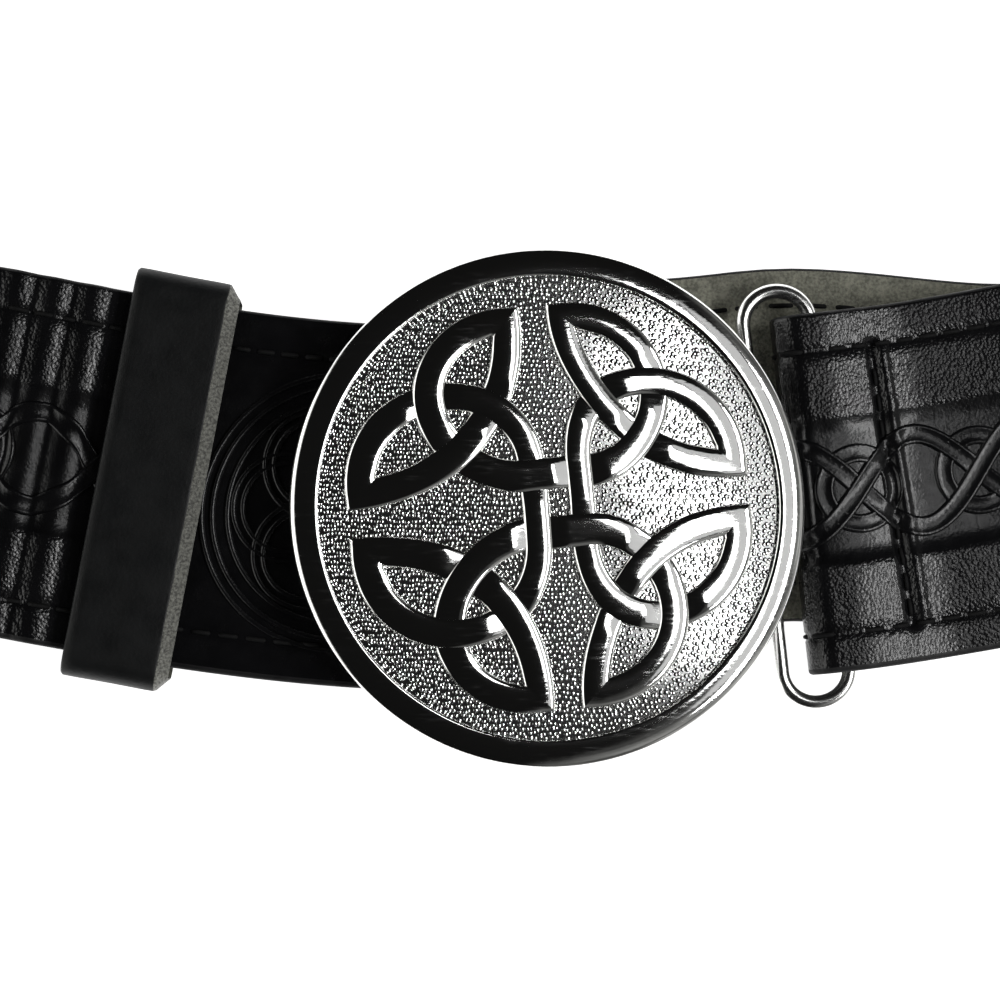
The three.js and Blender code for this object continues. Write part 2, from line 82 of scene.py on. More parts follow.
# Keeper
KEEPER_WIDTH = 16.8
KEEPER_LEATHER = 2.4
KEEPER_SLACK = 1.5
KEEPER_CORNER = 3.2
KEEPER_PLACE = -61.6
KEEPER_TWIST = math.radians(-1.2)

# Ring
RING_WIRE = 2.4
RING_SIDE_REACH = 5.6
RING_END_DEPTH = 5.2
RING_BREADTH = 13.2
RING_PLACE = 43.3
RING_RISE = 2.7
RING_SLACK = 2.1
WRAP_CLEARANCE = 0.3

# Buckle plate
PLATE_RADIUS = 40.3
PLATE_TILT = math.radians(4.5)
PLATE_GROUND = 2
RIM_WIDTH = 4.6
RIM_HEIGHT = 3.3
PLATE_DOME = 1.5
PLATE_CLEARANCE = 0.4

# Knotwork on the plate
KNOT_TURN = math.radians(5.3)
KNOT_REACH = 31.5
KNOT_GAP = 2.1
WEAVE_OFFSET = 4.1
STRAND_WIDTH = 4.7
STRAND_HEIGHT = 1.1
STRAND_ROOT = 0.7
STRAND_DIP = 0.45
DIP_REACH = 5.2
LOOP_OFFSET = 0.95
KNOT_SHIFT_X = 1.35
KNOT_SHIFT_Y = 0.65
KNOT_SQUEEZE = 0.12

# Bar, posts and hook behind the plate
BAR_DIAMETER = 3
BAR_PLACE = -12.6
BAR_HEIGHT = 10.5
BAR_SIDE_GAP = 1.4
POST_DIAMETER = 3.6
HOOK_WIDTH = 14
HOOK_STEM = 1.9
HOOK_FOOT = 2
HOOK_LIP = 1.6
HOOK_CLEARANCE = 0.4

# Embossing
STITCH_INSET = 6.1
STITCH_GROOVE = 0.3
FOLD_STITCH = 11.4
FOLD_CREASE = 0.95
FOLD_RIDGE = 0.3
BAND_WIDTH = 22
BAND_ANCHOR = 69
BAND_SWING = 7.4
BAND_STRAND = 3.2
BAND_RING = 3
BAND_RING_RADIUS = 5.6
MEDALLION_PLACE = -32.3
MEDALLION_SIDE = -1.4
MEDALLION_RADIUS = 22
MEDALLION_LINE = 0.9
PETAL_REACH = 8.2

# Stage
CAMERA_TARGET = (-7.5, 1.2, 17)
CAMERA_ASIDE = (-18, -22)
PICTURE_BREADTH = 155
SENSOR_BREADTH = 36
FLOOR_REACH = 6000

UP = Vector((0, 0, 1))

# Heights of each layer's middle above the surface
rear_middle = STRAP_LEATHER / 2
keeper_floor = STRAP_LEATHER + LAYER_GAP
tail_middle = keeper_floor + KEEPER_LEATHER + LAYER_GAP + STRAP_LEATHER / 2
layer_step = STRAP_LEATHER + LAYER_GAP
left_middle = tail_middle + layer_step
keeper_roof = left_middle + STRAP_LEATHER / 2 + LAYER_GAP
bar_fold_radius = BAR_DIAMETER / 2 + WRAP_CLEARANCE + STRAP_LEATHER / 2
ring_fold_radius = RING_WIRE / 2 + WRAP_CLEARANCE + STRAP_LEATHER / 2
under_middle = rear_middle + layer_step
ring_height = under_middle + ring_fold_radius
right_middle = under_middle + layer_step
loop_top = rear_middle + 2 * LOOP_RADIUS
ring_fold_top = ring_height + ring_fold_radius + STRAP_LEATHER / 2
plate_lift = ring_fold_top + PLATE_CLEARANCE + PLATE_RADIUS * math.sin(PLATE_TILT)
bar_end = STRAP_WIDTH / 2 + BAR_SIDE_GAP + POST_DIAMETER / 2

strand_line = KNOT_GAP + STRAND_WIDTH / 2
strand_reach = KNOT_REACH - STRAND_WIDTH / 2
quarter_radius = strand_reach - strand_line
loop_radius = (strand_reach - WEAVE_OFFSET) / 2
loop_centre_x = strand_line + LOOP_OFFSET
loop_centre_y = WEAVE_OFFSET + loop_radius

Station = namedtuple("Station", "middle along across")


def ease(value, start, length):
    """0 before start, 1 after start + length, and an even S between them."""
    share = np.clip((value - start) / length, 0, 1)
    return share * share * (3 - 2 * share)


def lerp(low, high, share):
    return low + (high - low) * share


def circle(count):
    """Equal angles round a full turn."""
    return np.linspace(0, 2 * math.pi, count, endpoint=False)


def cubic(share, span, low, low_slope, high, high_slope):
    """A cubic from one height and slope to another over a span."""
    s2 = share * share
    s3 = s2 * share
    low_part = (2 * s3 - 3 * s2 + 1) * low + (s3 - 2 * s2 + share) * span * low_slope
    high_part = (3 * s2 - 2 * s3) * high + (s3 - s2) * span * high_slope
    return low_part + high_part


def front_line(x):
    """Sideways place of the upper layers at a place along the belt."""
    if x <= LEFT_BEND_START:
        return END_RISE * ease(-x, LEFT_BEND_START, LEFT_BEND_LENGTH)
    lean = math.tan(RING_LEAN)
    if x <= RING_PLACE:
        span = RING_PLACE - LEFT_BEND_START
        return cubic((x - LEFT_BEND_START) / span, span, 0, 0, RING_RISE, lean)
    share = min(1, (x - RING_PLACE) / RIGHT_BEND_LENGTH)
    return cubic(share, RIGHT_BEND_LENGTH, RING_RISE, lean, END_RISE, 0)


def rear_line(x):
    """Sideways place of the layer that lies on the surface."""
    shift = ease(x, REAR_SHIFT_START, REAR_SHIFT_LENGTH) - ease(x, REAR_RETURN_START, REAR_RETURN_LENGTH)
    return front_line(x) + REAR_OFFSET * shift


def slope_of(curve, x):
    reach = 0.05
    return (curve(x + reach) - curve(x - reach)) / (2 * reach)


keeper_heading = math.atan(slope_of(front_line, KEEPER_PLACE)) + KEEPER_TWIST
keeper_half = KEEPER_WIDTH / 2 * math.cos(keeper_heading)
keeper_left = KEEPER_PLACE - keeper_half
keeper_right = KEEPER_PLACE + keeper_half


def wrinkle(x):
    """Height of the cross wrinkles where the strap enters the keeper."""
    share = (keeper_left - WRINKLE_PITCH / 2 - x) / WRINKLE_PITCH
    if share < 0 or share > WRINKLES:
        return 0
    return WRINKLE_HEIGHT * math.sin(math.pi * share) ** 2


def settled_left(x):
    """0 over the buckle's bar, and 1 where the left layers have come down to the keeper."""
    return ease(BAR_PLACE - x, 0, BAR_PLACE - keeper_right - LAYER_GAP)


def left_height(x):
    level = lerp(BAR_HEIGHT + bar_fold_radius, left_middle, settled_left(x))
    climb = ease(-x, LEFT_CLIMB_START, HALF_LENGTH - LEFT_CLIMB_START)
    return lerp(level, loop_top, climb) + wrinkle(x)


def tail_height(x):
    return lerp(BAR_HEIGHT - bar_fold_radius, tail_middle, settled_left(x))


def right_height(x):
    settled = ease(x - RING_PLACE, RING_SLACK, RIGHT_SETTLE_LENGTH)
    level = lerp(ring_height + ring_fold_radius, right_middle, settled)
    start = RING_PLACE + UNDER_LAYER
    return lerp(level, loop_top, ease(x, start, HALF_LENGTH - start))


def across_of(heading):
    return Vector((-math.sin(heading), math.cos(heading), 0))


def lying_stretch(line, height, start, end, step):
    """Stations at equal steps from one place along the belt to another."""
    count = max(1, round(abs(end - start) / step))
    direction = 1 if end > start else -1
    stations = []
    for i in range(count + 1):
        x = lerp(start, end, i / count)
        slope = slope_of(line, x)
        along = Vector((1, slope, slope_of(height, x))).normalized() * direction
        stations.append(Station(Vector((x, line(x), height(x))), along, across_of(math.atan(slope))))
    return stations


def half_turn(centre, radius, heading, start_angle, steps):
    """Stations round half a turn about a level line."""
    ahead = Vector((math.cos(heading), math.sin(heading), 0))
    stations = []
    for i in range(steps + 1):
        angle = start_angle + math.pi * i / steps
        along = ahead * math.cos(angle) + UP * math.sin(angle)
        middle = centre + ahead * (radius * math.sin(angle)) - UP * (radius * math.cos(angle))
        stations.append(Station(middle, along, across_of(heading)))
    return stations


class Route:
    """The strap's way from its tail round the bar, both end loops and the ring."""

    def __init__(self, stretches):
        self.marks = {}
        stations = []
        for name, stretch in stretches:
            first = max(0, len(stations) - 1)
            stations.extend(stretch[1:] if stations else stretch)
            self.marks[name] = (first, len(stations) - 1)
        self.middle = np.array([station.middle for station in stations])
        self.across = np.array([station.across for station in stations])
        along = np.array([station.along for station in stations])
        outward = -np.cross(along, self.across)
        self.outward = outward / np.linalg.norm(outward, axis=1, keepdims=True)
        steps = np.linalg.norm(np.diff(self.middle, axis=0), axis=1)
        self.distance = np.concatenate(([0], np.cumsum(steps)))

    def start(self, name):
        return self.distance[self.marks[name][0]]

    def end(self, name):
        return self.distance[self.marks[name][1]]

    def at(self, name, x):
        """Distance along the strap at a place on one of its lying stretches."""
        first, last = self.marks[name]
        places = self.middle[first:last + 1, 0]
        distances = self.distance[first:last + 1]
        if places[0] > places[-1]:
            return float(np.interp(x, places[::-1], distances[::-1]))
        return float(np.interp(x, places, distances))

    def place(self, distance, side, rise):
        """Points at a distance along the strap, a way to its side and above its middle."""
        def read(rows):
            return np.stack([np.interp(distance, self.distance, rows[:, k]) for k in range(3)], axis=-1)

        return read(self.middle) + read(self.across) * side[..., None] + read(self.outward) * rise[..., None]


def strap_route():
    ring_centre = Vector((RING_PLACE, RING_RISE, ring_height))
    bar_centre = Vector((BAR_PLACE, front_line(BAR_PLACE), BAR_HEIGHT))
    left_centre = Vector((-HALF_LENGTH, END_RISE, rear_middle + LOOP_RADIUS))
    right_centre = Vector((HALF_LENGTH, END_RISE, rear_middle + LOOP_RADIUS))
    wrinkled = keeper_left - 27
    left = lying_stretch(front_line, left_height, BAR_PLACE, keeper_left, 1.5)
    left += lying_stretch(front_line, left_height, keeper_left, wrinkled, 0.45)[1:]
    left += lying_stretch(front_line, left_height, wrinkled, -HALF_LENGTH, 1.6)[1:]
    settled = RING_PLACE + RIGHT_SETTLE_LENGTH
    right = lying_stretch(front_line, right_height, HALF_LENGTH, settled, 1.6)
    right += lying_stretch(front_line, right_height, settled, RING_PLACE, 0.4)[1:]
    return Route([
        ("tail", lying_stretch(front_line, tail_height, -TAIL_REACH, BAR_PLACE, 3)),
        ("bar fold", half_turn(bar_centre, bar_fold_radius, 0, 0, 16)),
        ("left", left),
        ("left loop", half_turn(left_centre, LOOP_RADIUS, 0, math.pi, 44)),
        ("rear", lying_stretch(rear_line, lambda x: rear_middle, -HALF_LENGTH, HALF_LENGTH, 3)),
        ("right loop", half_turn(right_centre, LOOP_RADIUS, 0, 0, 44)),
        ("right", right),
        ("ring fold", half_turn(ring_centre, ring_fold_radius, RING_LEAN, math.pi, 24)),
        ("under", lying_stretch(front_line, lambda x: under_middle, RING_PLACE, RING_PLACE + UNDER_LAYER, 3)),
    ])


route = strap_route()
band_start = route.at("left", KEEPER_PLACE)
fold_stitch = route.at("right", RING_PLACE + FOLD_STITCH)


class Solids:
    """Closed surfaces, each with its finish, that become one piece."""

    def __init__(self):
        self.points = []
        self.faces = []
        self.finishes = []
        self.count = 0

    def add(self, points, faces, finishes=0):
        points = np.asarray(points, dtype=float).reshape(-1, 3)
        self.points.append(points)
        self.faces.extend(tuple(corner + self.count for corner in face) for face in faces)
        self.finishes.extend([finishes] * len(faces) if isinstance(finishes, int) else finishes)
        self.count += len(points)

    def piece(self, name, materials, crease=None):
        mesh = bpy.data.meshes.new(name)
        mesh.from_pydata((np.concatenate(self.points) * MM).tolist(), [], self.faces)
        mesh.polygons.foreach_set("material_index", self.finishes)
        shape = bmesh.new()
        shape.from_mesh(mesh)
        bmesh.ops.recalc_face_normals(shape, faces=shape.faces)
        shape.to_mesh(mesh)
        shape.free()
        for material in materials:
            mesh.materials.append(material)
        mesh.shade_smooth()
        if crease is not None:
            mesh.set_sharp_from_angle(angle=math.radians(crease))
        made = bpy.data.objects.new(name, mesh)
        bpy.context.collection.objects.link(made)
        return made


def skin(sections, closed=False):
    """Points and faces of a surface through sections of equally many points."""
    sections = np.asarray(sections, dtype=float)
    count, sides = sections.shape[:2]
    rings = np.arange(count if closed else count - 1)[:, None] * sides
    onward = (rings + sides) % (count * sides)
    here = np.arange(sides)[None, :]
    beside = (here + 1) % sides
    faces = np.stack([rings + here, rings + beside, onward + beside, onward + here], axis=-1)
    faces = [tuple(face) for face in faces.reshape(-1, 4).tolist()]
    if not closed:
        faces.append(tuple(reversed(range(sides))))
        faces.append(tuple(range((count - 1) * sides, count * sides)))
    return sections.reshape(-1, 3), faces


def fit(piece, node):
    """Makes a piece stand in for a solid of the frame: hangs it under the root and hides that solid."""
    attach(piece, "root")
    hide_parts(node)
    return piece


def strap_part(solids, name, finishes):
    return fit(solids.piece(name, finishes), "strap")


class Value:
    """A node's output, on which arithmetic adds Math nodes."""

    def __init__(self, tree, socket=None):
        self.tree = tree
        self.socket = socket

    def node(self, kind, settings=None, inputs=None, output=0):
        made = self.tree.nodes.new(kind)
        for name, value in (settings or {}).items():
            setattr(made, name, value)
        for name, value in (inputs or {}).items():
            self.feed(made.inputs[name], value)
        return Value(self.tree, made.outputs[output])

    def feed(self, socket, value):
        if isinstance(value, Value):
            self.tree.links.new(value.socket, socket)
        else:
            socket.default_value = value

    def maths(self, operation, first, second):
        return self.node("ShaderNodeMath", {"operation": operation}, {0: first, 1: second})

    def __add__(self, other):
        return self.maths("ADD", self, other)

    __radd__ = __add__

    def __mul__(self, other):
        return self.maths("MULTIPLY", self, other)

    __rmul__ = __mul__

    def __sub__(self, other):
        return self.maths("SUBTRACT", self, other)

    def __rsub__(self, other):
        return self.maths("SUBTRACT", other, self)

    def blend(self, low, high):
        """One colour where this value is 0 and another where it is 1."""
        return self.node("ShaderNodeMix", {"data_type": "RGBA"}, {0: self, 6: low, 7: high}, 2)

    def ramp(self, low, high):
        """Stretches this value so that low becomes 0 and high becomes 1."""
        inputs = {"Value": self, "From Min": low, "From Max": high}
        return self.node("ShaderNodeMapRange", {"clamp": True}, inputs)


def colour(shade):
    return (*shade[:3], 1)


class Finish:
    """A material with its coordinates and its shader."""

    def __init__(self, name, **constants):
        self.material = bpy.data.materials.new(name)
        self.material.use_nodes = True
        self.shader = self.material.node_tree.nodes["Principled BSDF"]
        self.nodes = Value(self.material.node_tree)
        self.place = self.nodes.node("ShaderNodeTexCoord", output="Object")
        for socket, value in constants.items():
            self.shader.inputs[socket.replace("_", " ")].default_value = value

    def grains(self, size):
        inputs = {"Vector": self.place, "Scale": 1 / (size * MM), "Randomness": 1}
        return self.nodes.node("ShaderNodeTexVoronoi", {"feature": "F1"}, inputs, "Distance")

    def cloud(self, size, detail=2, place=None):
        inputs = {"Vector": place or self.place, "Scale": 1 / (size * MM), "Detail": detail}
        return self.nodes.node("ShaderNodeTexNoise", {}, inputs, "Fac")

    def stretched(self, *factors):
        inputs = {0: self.place, 1: factors}
        return self.nodes.node("ShaderNodeVectorMath", {"operation": "MULTIPLY"}, inputs)

    def wear(self, socket, value):
        self.nodes.feed(self.shader.inputs[socket], value)
        return self

    def relief(self, height, depth, strength):
        inputs = {"Height": height, "Distance": depth * MM, "Strength": strength}
        return self.wear("Normal", self.nodes.node("ShaderNodeBump", {}, inputs))

    def tinted(self, share, base, low, high):
        """Shades the base colour between two multiples of it, and gives the material."""
        shades = [colour([part * factor for part in base]) for factor in (low, high)]
        return self.wear("Base Color", share.blend(*shades)).material


def grain_finish():
    finish = Finish("black grain leather", IOR=1.45)
    pebble = finish.grains(0.52)
    coarse = finish.grains(1.3)
    fine = finish.cloud(0.3)
    broad = finish.cloud(9, 3)
    finish.relief((1 - pebble) + (1 - coarse) * 0.4 + fine * 0.4 + broad * 0.3, 0.075, 0.9)
    finish.wear("Roughness", finish.cloud(4).ramp(0.3, 0.7) * 0.08 + 0.16)
    return finish.tinted(broad.ramp(0.35, 0.7), bpy.context.scene.belt_leather.black, 1, 1.8)


def smooth_finish():
    finish = Finish("smooth pressed leather", IOR=1.4)
    fine = finish.cloud(0.5, 3)
    finish.relief(fine + finish.cloud(3) * 1.4, 0.06, 0.8)
    finish.wear("Roughness", finish.cloud(2.5, 3).ramp(0.3, 0.7) * 0.1 + 0.18)
    return finish.tinted(finish.cloud(6).ramp(0.3, 0.7), bpy.context.scene.belt_leather.black, 1, 1.5)


def keeper_finish():
    black = bpy.context.scene.belt_leather.keeper_black
    finish = Finish("satin leather", IOR=1.38)
    finish.relief(finish.cloud(0.6, 4) + finish.cloud(7) * 2, 0.07, 0.7)
    finish.wear("Roughness", finish.cloud(5, 3).ramp(0.3, 0.7) * 0.15 + 0.42)
    return finish.tinted(finish.cloud(8, 3).ramp(0.3, 0.7), black, 1, 1.5)


def edge_finish():
    finish = Finish("inked edge", IOR=1.4)
    streaks = finish.cloud(0.6, 3, finish.stretched(0.25, 0.25, 1))
    finish.relief(streaks, 0.15, 0.8)
    finish.wear("Roughness", streaks.ramp(0.3, 0.7) * 0.2 + 0.45)
    return finish.tinted(finish.cloud(3).ramp(0.35, 0.65), bpy.context.scene.belt_leather.black, 1, 1.6)


def suede_finish():
    finish = Finish("grey suede", Roughness=0.95, Sheen_Weight=0.25)
    nap = finish.cloud(0.45, 4)
    patches = finish.cloud(2.2, 3)
    finish.relief(nap + patches * 0.5, 0.3, 0.9)
    share = (nap * 0.6 + patches * 0.4).ramp(0.38, 0.62)
    return finish.tinted(share, bpy.context.scene.belt_leather.flesh, 0.55, 1.35)


def raw_finish():
    finish = Finish("raw cut edge", Roughness=1.0, Sheen_Weight=0.4)
    fibres = finish.cloud(0.4, 4, finish.stretched(1, 1, 0.4))
    finish.relief(fibres, 0.5, 1)
    return finish.tinted(fibres.ramp(0.35, 0.65), bpy.context.scene.belt_leather.raw_edge, 0.45, 1.5)


def thread_finish():
    finish = Finish("waxed thread", Roughness=0.75, IOR=1.35)
    finish.relief(finish.cloud(0.25), 0.12, 0.8)
    share = finish.cloud(0.5).ramp(0.35, 0.65)
    return finish.tinted(share, bpy.context.scene.belt_leather.thread, 0.7, 1.5)


def chrome_finish(name, rough, haze, scratch):
    finish = Finish(name, Metallic=1.0)
    lines = finish.cloud(0.5, 3, finish.stretched(0.12, 1, 1))
    swirls = finish.cloud(5)
    finish.relief(lines * 0.5 + swirls, scratch, 0.6)
    finish.wear("Roughness", (lines.ramp(0.5, 0.75) * swirls.ramp(0.4, 0.7)) * haze + rough)
    return finish.tinted(swirls.ramp(0.3, 0.8), bpy.context.scene.belt_buckle.chrome, 1, 0.93)


def grain_rise(distance, side):
    """Height of the grain side above the strap's middle, with its grooves, band, crease and ridge."""
    leather = bpy.context.scene.belt_leather
    reach = np.abs(side)
    groove = np.clip(1 - ((reach - (STRAP_WIDTH / 2 - STITCH_INSET)) / 0.8) ** 2, 0, 1) * STITCH_GROOVE
    pressed = ease(distance, band_start - 3, 6) * (1 - ease(reach, BAND_WIDTH / 2, 0.35))
    near = np.clip(1 - ((distance - fold_stitch) / 1.3) ** 2, 0, 1) ** 1.5
    ridge = np.clip(1 - ((distance - fold_stitch + 2) / 1.1) ** 2, 0, 1) ** 2 * FOLD_RIDGE
    inside = 1 - ease(reach, STRAP_WIDTH / 2 - STITCH_INSET, 1.2)
    ground = STRAP_LEATHER / 2 - groove - pressed * leather.band_depth / MM
    return ground - (near * FOLD_CREASE - ridge) * inside


GRAIN_COLUMNS = [27.6, 26, 24.2, 23.2, 22.8, 22.4, 22.0, 21.6, 20, 17.5, 15, 12.5, 11.35, 11, 8.5, 6, 3]
FLESH_COLUMNS = [27.6, 23.2, 22.4, 21.6, 15, 7.5]
EDGE_POINTS = [(28.05, 1.42), (28.36, 1.2), (28.5, 0.85), (28.5, 0.4), (28.36, 0.1), (28.5, -0.2),
               (28.5, -0.85), (28.36, -1.2), (28.05, -1.42)]
# Finishes of the strap's skin, in the order of its materials
GRAIN, SUEDE, SMOOTH, EDGE = range(4)

def ripple(points):
    """A slow unevenness of worked leather."""
    return np.array([noise.noise(Vector(point) / 11) * 0.12 + noise.noise(Vector(point) / 3.2) * 0.03
                     for point in points])


def strap_piece():
    flesh_sides = FLESH_COLUMNS + [0] + [-side for side in reversed(FLESH_COLUMNS)]
    grain_sides = [-side for side in GRAIN_COLUMNS] + [0] + list(reversed(GRAIN_COLUMNS))
    sides = [side for side, _ in EDGE_POINTS] + flesh_sides
    sides += [-side for side, _ in reversed(EDGE_POINTS)] + grain_sides
    edge_rise = [rise for _, rise in EDGE_POINTS]
    fixed = edge_rise + [-STRAP_LEATHER / 2] * len(flesh_sides) + edge_rise[::-1]
    count = len(route.distance)
    distance = np.repeat(route.distance[:, None], len(sides), axis=1)
    side = np.repeat(np.array(sides, dtype=float)[None, :], count, axis=0)
    rise = np.repeat(np.array(fixed + [0] * len(grain_sides))[None, :], count, axis=0)
    first = len(fixed)
    rise[:, first:] = grain_rise(distance[:, first:], side[:, first:])
    points = route.place(distance, side, rise)
    waves = ripple(points[:, first:].reshape(-1, 3)).reshape(count, -1)
    calm = 1 - ease(np.abs(side[:, first:]), STRAP_WIDTH / 2 - 3, 2)
    rise[:, first:] += waves * calm - 0.05
    points = route.place(distance, side, rise)
    points, faces = skin(points)
    flesh = range(len(EDGE_POINTS) - 1, len(EDGE_POINTS) + len(flesh_sides))
    band = [first + i for i in range(len(grain_sides) - 1)
            if max(abs(grain_sides[i]), abs(grain_sides[i + 1])) <= BAND_WIDTH / 2 + 0.4]
    kinds = []
    for row in range(count - 1):
        before_band = route.distance[row] <= band_start
        for j in range(len(sides)):
            if j in flesh:
                kinds.append(SUEDE)
            elif j >= first and before_band or j in band:
                kinds.append(SMOOTH)
            elif j < first:
                kinds.append(EDGE)
            else:
                kinds.append(GRAIN)
    solids = Solids()
    solids.add(points, faces, kinds + [EDGE, EDGE])
    finishes = [grain_finish(), suede_finish(), smooth_finish(), edge_finish()]
    return strap_part(solids, "strap_band", finishes)


def mirrored(half):
    """A section's first half and, after it, the same from the middle outwards on the other side."""
    return half + [(-across, rise) for across, rise in reversed(half[:-1])]


LINE_SECTION = mirrored([(-1, -0.4), (-1, 0.1), (-0.7, 0.75), (0, 1)])
RIBBON_SECTION = mirrored([(-1, -0.6), (-1, 0.3), (-0.82, 0.95), (-0.62, 0.9), (-0.42, 0.45), (0, 0.6)])


def pressed_line(solids, path, width, height, section, closed=False, levels=None):
    """A raised line pressed in the grain side along a path of distances and sides."""
    path = np.asarray(path, dtype=float)
    if closed:
        going = np.roll(path, -1, axis=0) - np.roll(path, 1, axis=0)
    else:
        going = np.gradient(path, axis=0)
    going /= np.linalg.norm(going, axis=1, keepdims=True)
    aside = np.array([across for across, _ in section]) * width / 2
    lift = np.array([rise for _, rise in section]) * height
    distance = path[:, :1] - going[:, 1:] * aside
    side = path[:, 1:] + going[:, :1] * aside
    level = np.ones((len(path), 1)) if levels is None else np.asarray(levels)[:, None]
    rise = grain_rise(distance, side) + np.where(lift > 0, lift * level, lift)
    solids.add(*skin(route.place(distance, side, rise), closed))


def band_piece():
    """The interlaced strands of the pressed band: two crossing waves with rings threaded on them."""
    leather = bpy.context.scene.belt_leather
    height = leather.band_depth / MM * 1.15
    repeat = leather.band_repeat / MM
    start = band_start + 4
    end = route.start("under") - 1
    anchor = route.at("right", BAND_ANCHOR)
    solids = Solids()
    along = np.arange(start, end, 0.7)
    for sign in (1, -1):
        phase = math.pi * (along - anchor) / repeat
        path = np.stack([along, sign * BAND_SWING * np.sin(phase)], axis=1)
        under = np.clip(1 - (np.abs(np.sin(phase)) / 0.3) ** 2, 0, 1) * (np.cos(phase) * sign > 0)
        pressed_line(solids, path, BAND_STRAND, height, RIBBON_SECTION, levels=1 - 0.6 * under)
    turns = circle(44)
    first = math.ceil((start + 8 - anchor) / repeat)
    last = math.floor((end - 7 - anchor) / repeat)
    for k in range(first, last + 1):
        places = anchor + k * repeat + BAND_RING_RADIUS * np.cos(turns)
        path = np.stack([places, BAND_RING_RADIUS * np.sin(turns)], axis=1)
        pressed_line(solids, path, BAND_RING, height, RIBBON_SECTION, True, 0.75 + 0.25 * np.cos(4 * turns))
    return strap_part(solids, "band_knots", [smooth_finish()])


def medallion_piece():
    """The round knot pressed into the strap between the keeper and the buckle."""
    middle = route.at("left", MEDALLION_PLACE)
    solids = Solids()
    turns = circle(150)

    def ring(radius, height, x=0, y=0):
        places = middle + x + radius * np.cos(turns)
        sides = MEDALLION_SIDE + y + radius * np.sin(turns)
        path = np.stack([places, sides], axis=1)
        pressed_line(solids, path, MEDALLION_LINE, height, LINE_SECTION, True)

    for inward in (0.5, 2.2, 4.6):
        ring(MEDALLION_RADIUS - inward, 0.42)
    for k in range(6):
        angle = math.pi * k / 3
        for radius in (8.4, 6.9):
            ring(radius, 0.38, PETAL_REACH * math.cos(angle), PETAL_REACH * math.sin(angle))
    return strap_part(solids, "medallion", [smooth_finish()])


def stitch(solids, start, end, rise_at, thickness, sign=1):
    """One stitch of thread between two places on the strap, its ends drawn into the leather."""
    shares = np.array([0, 0.12, 0.32, 0.68, 0.88, 1])
    arch = np.array([-0.55, -0.05, 0.16, 0.16, -0.05, -0.55])
    start = np.array(start, dtype=float)
    end = np.array(end, dtype=float)
    path = start + (end - start) * shares[:, None]
    going = (end - start) / np.linalg.norm(end - start)
    turns = circle(6)
    round_ = np.array([0.7, 1, 1, 1, 1, 0.7])[:, None] * thickness / 2
    aside = np.cos(turns) * round_
    lift = np.sin(turns) * round_
    distance = path[:, :1] - going[1] * aside
    side = path[:, 1:] + going[0] * aside
    level = rise_at(path[:, 0], path[:, 1])[:, None]
    solids.add(*skin(route.place(distance, side, level + sign * (arch[:, None] + lift))))


def flesh_rise(distance, side):
    return np.full_like(distance, -STRAP_LEATHER / 2)


def stitch_piece():
    """The rows of stitches along both edges and across the strap behind the ring."""
    leather = bpy.context.scene.belt_leather
    pitch = leather.stitch_pitch / MM
    length = leather.stitch_length / MM
    thickness = leather.thread_thickness / MM
    row = STRAP_WIDTH / 2 - STITCH_INSET
    solids = Solids()
    spans = [
        (4, route.end("tail")),
        (route.start("left"), route.end("right")),
        (route.start("ring fold"), route.end("under") - 3),
    ]
    for low, high in spans:
        for start in np.arange(low, high - length, pitch):
            for side in (row, -row):
                stitch(solids, (start, side), (start + length, side), grain_rise, thickness)
                stitch(solids, (start, side), (start + length, side), flesh_rise, thickness, -1)
    for start in np.arange(-row + 1, row - length, pitch):
        stitch(solids, (fold_stitch, start), (fold_stitch, start + length), grain_rise, thickness)
    return strap_part(solids, "stitches", [thread_finish()])


def keeper_loop():
    """Outline of the keeper's outer face with its outward directions, across and up."""
    outer = STRAP_WIDTH / 2 + KEEPER_SLACK + KEEPER_LEATHER
    top = keeper_roof + KEEPER_LEATHER
    points = []
    corners = [(outer, keeper_floor, -90), (outer, top, 0), (-outer, top, 90), (-outer, keeper_floor, 180)]
    for across, height, turn in corners:
        centre_across = across - math.copysign(KEEPER_CORNER, across)
        centre_height = keeper_floor + KEEPER_CORNER if height == keeper_floor else top - KEEPER_CORNER
        for i in range(9):
            angle = math.radians(turn + 90 * i / 8)
            points.append((centre_across + KEEPER_CORNER * math.cos(angle),
                           centre_height + KEEPER_CORNER * math.sin(angle), math.cos(angle), math.sin(angle)))
    dense = []
    for first, second in zip(points, points[1:] + points[:1]):
        gap = math.hypot(second[0] - first[0], second[1] - first[1])
        count = max(1, round(gap / 1.6))
        for i in range(count):
            share = i / count
            dense.append([lerp(first[k], second[k], share) for k in range(4)])
    return np.array(dense)


# Places along the keeper's width, depths below its outer face, and the finish that follows each
KEEPER_SECTION = [
    (0.4, 0, 0), (2, -0.03, 0), (5, 0, 0), (8, 0.02, 0), (11, 0, 0), (13.4, -0.02, 0), (14.4, 0, 0),
    (14.7, 0.04, 1), (14.9, 0.2, 1), (15.15, 0.5, 1), (15.45, 0.9, 1), (15.8, 1.35, 1), (16.15, 1.75, 1),
    (16.5, 2.1, 1), (16.6, 2.35, 2), (12, 2.4, 2), (8, 2.4, 2), (4, 2.4, 2), (0.5, 2.4, 1), (0.1, 2, 0),
    (0, 1.2, 0), (0.06, 0.35, 0),
]


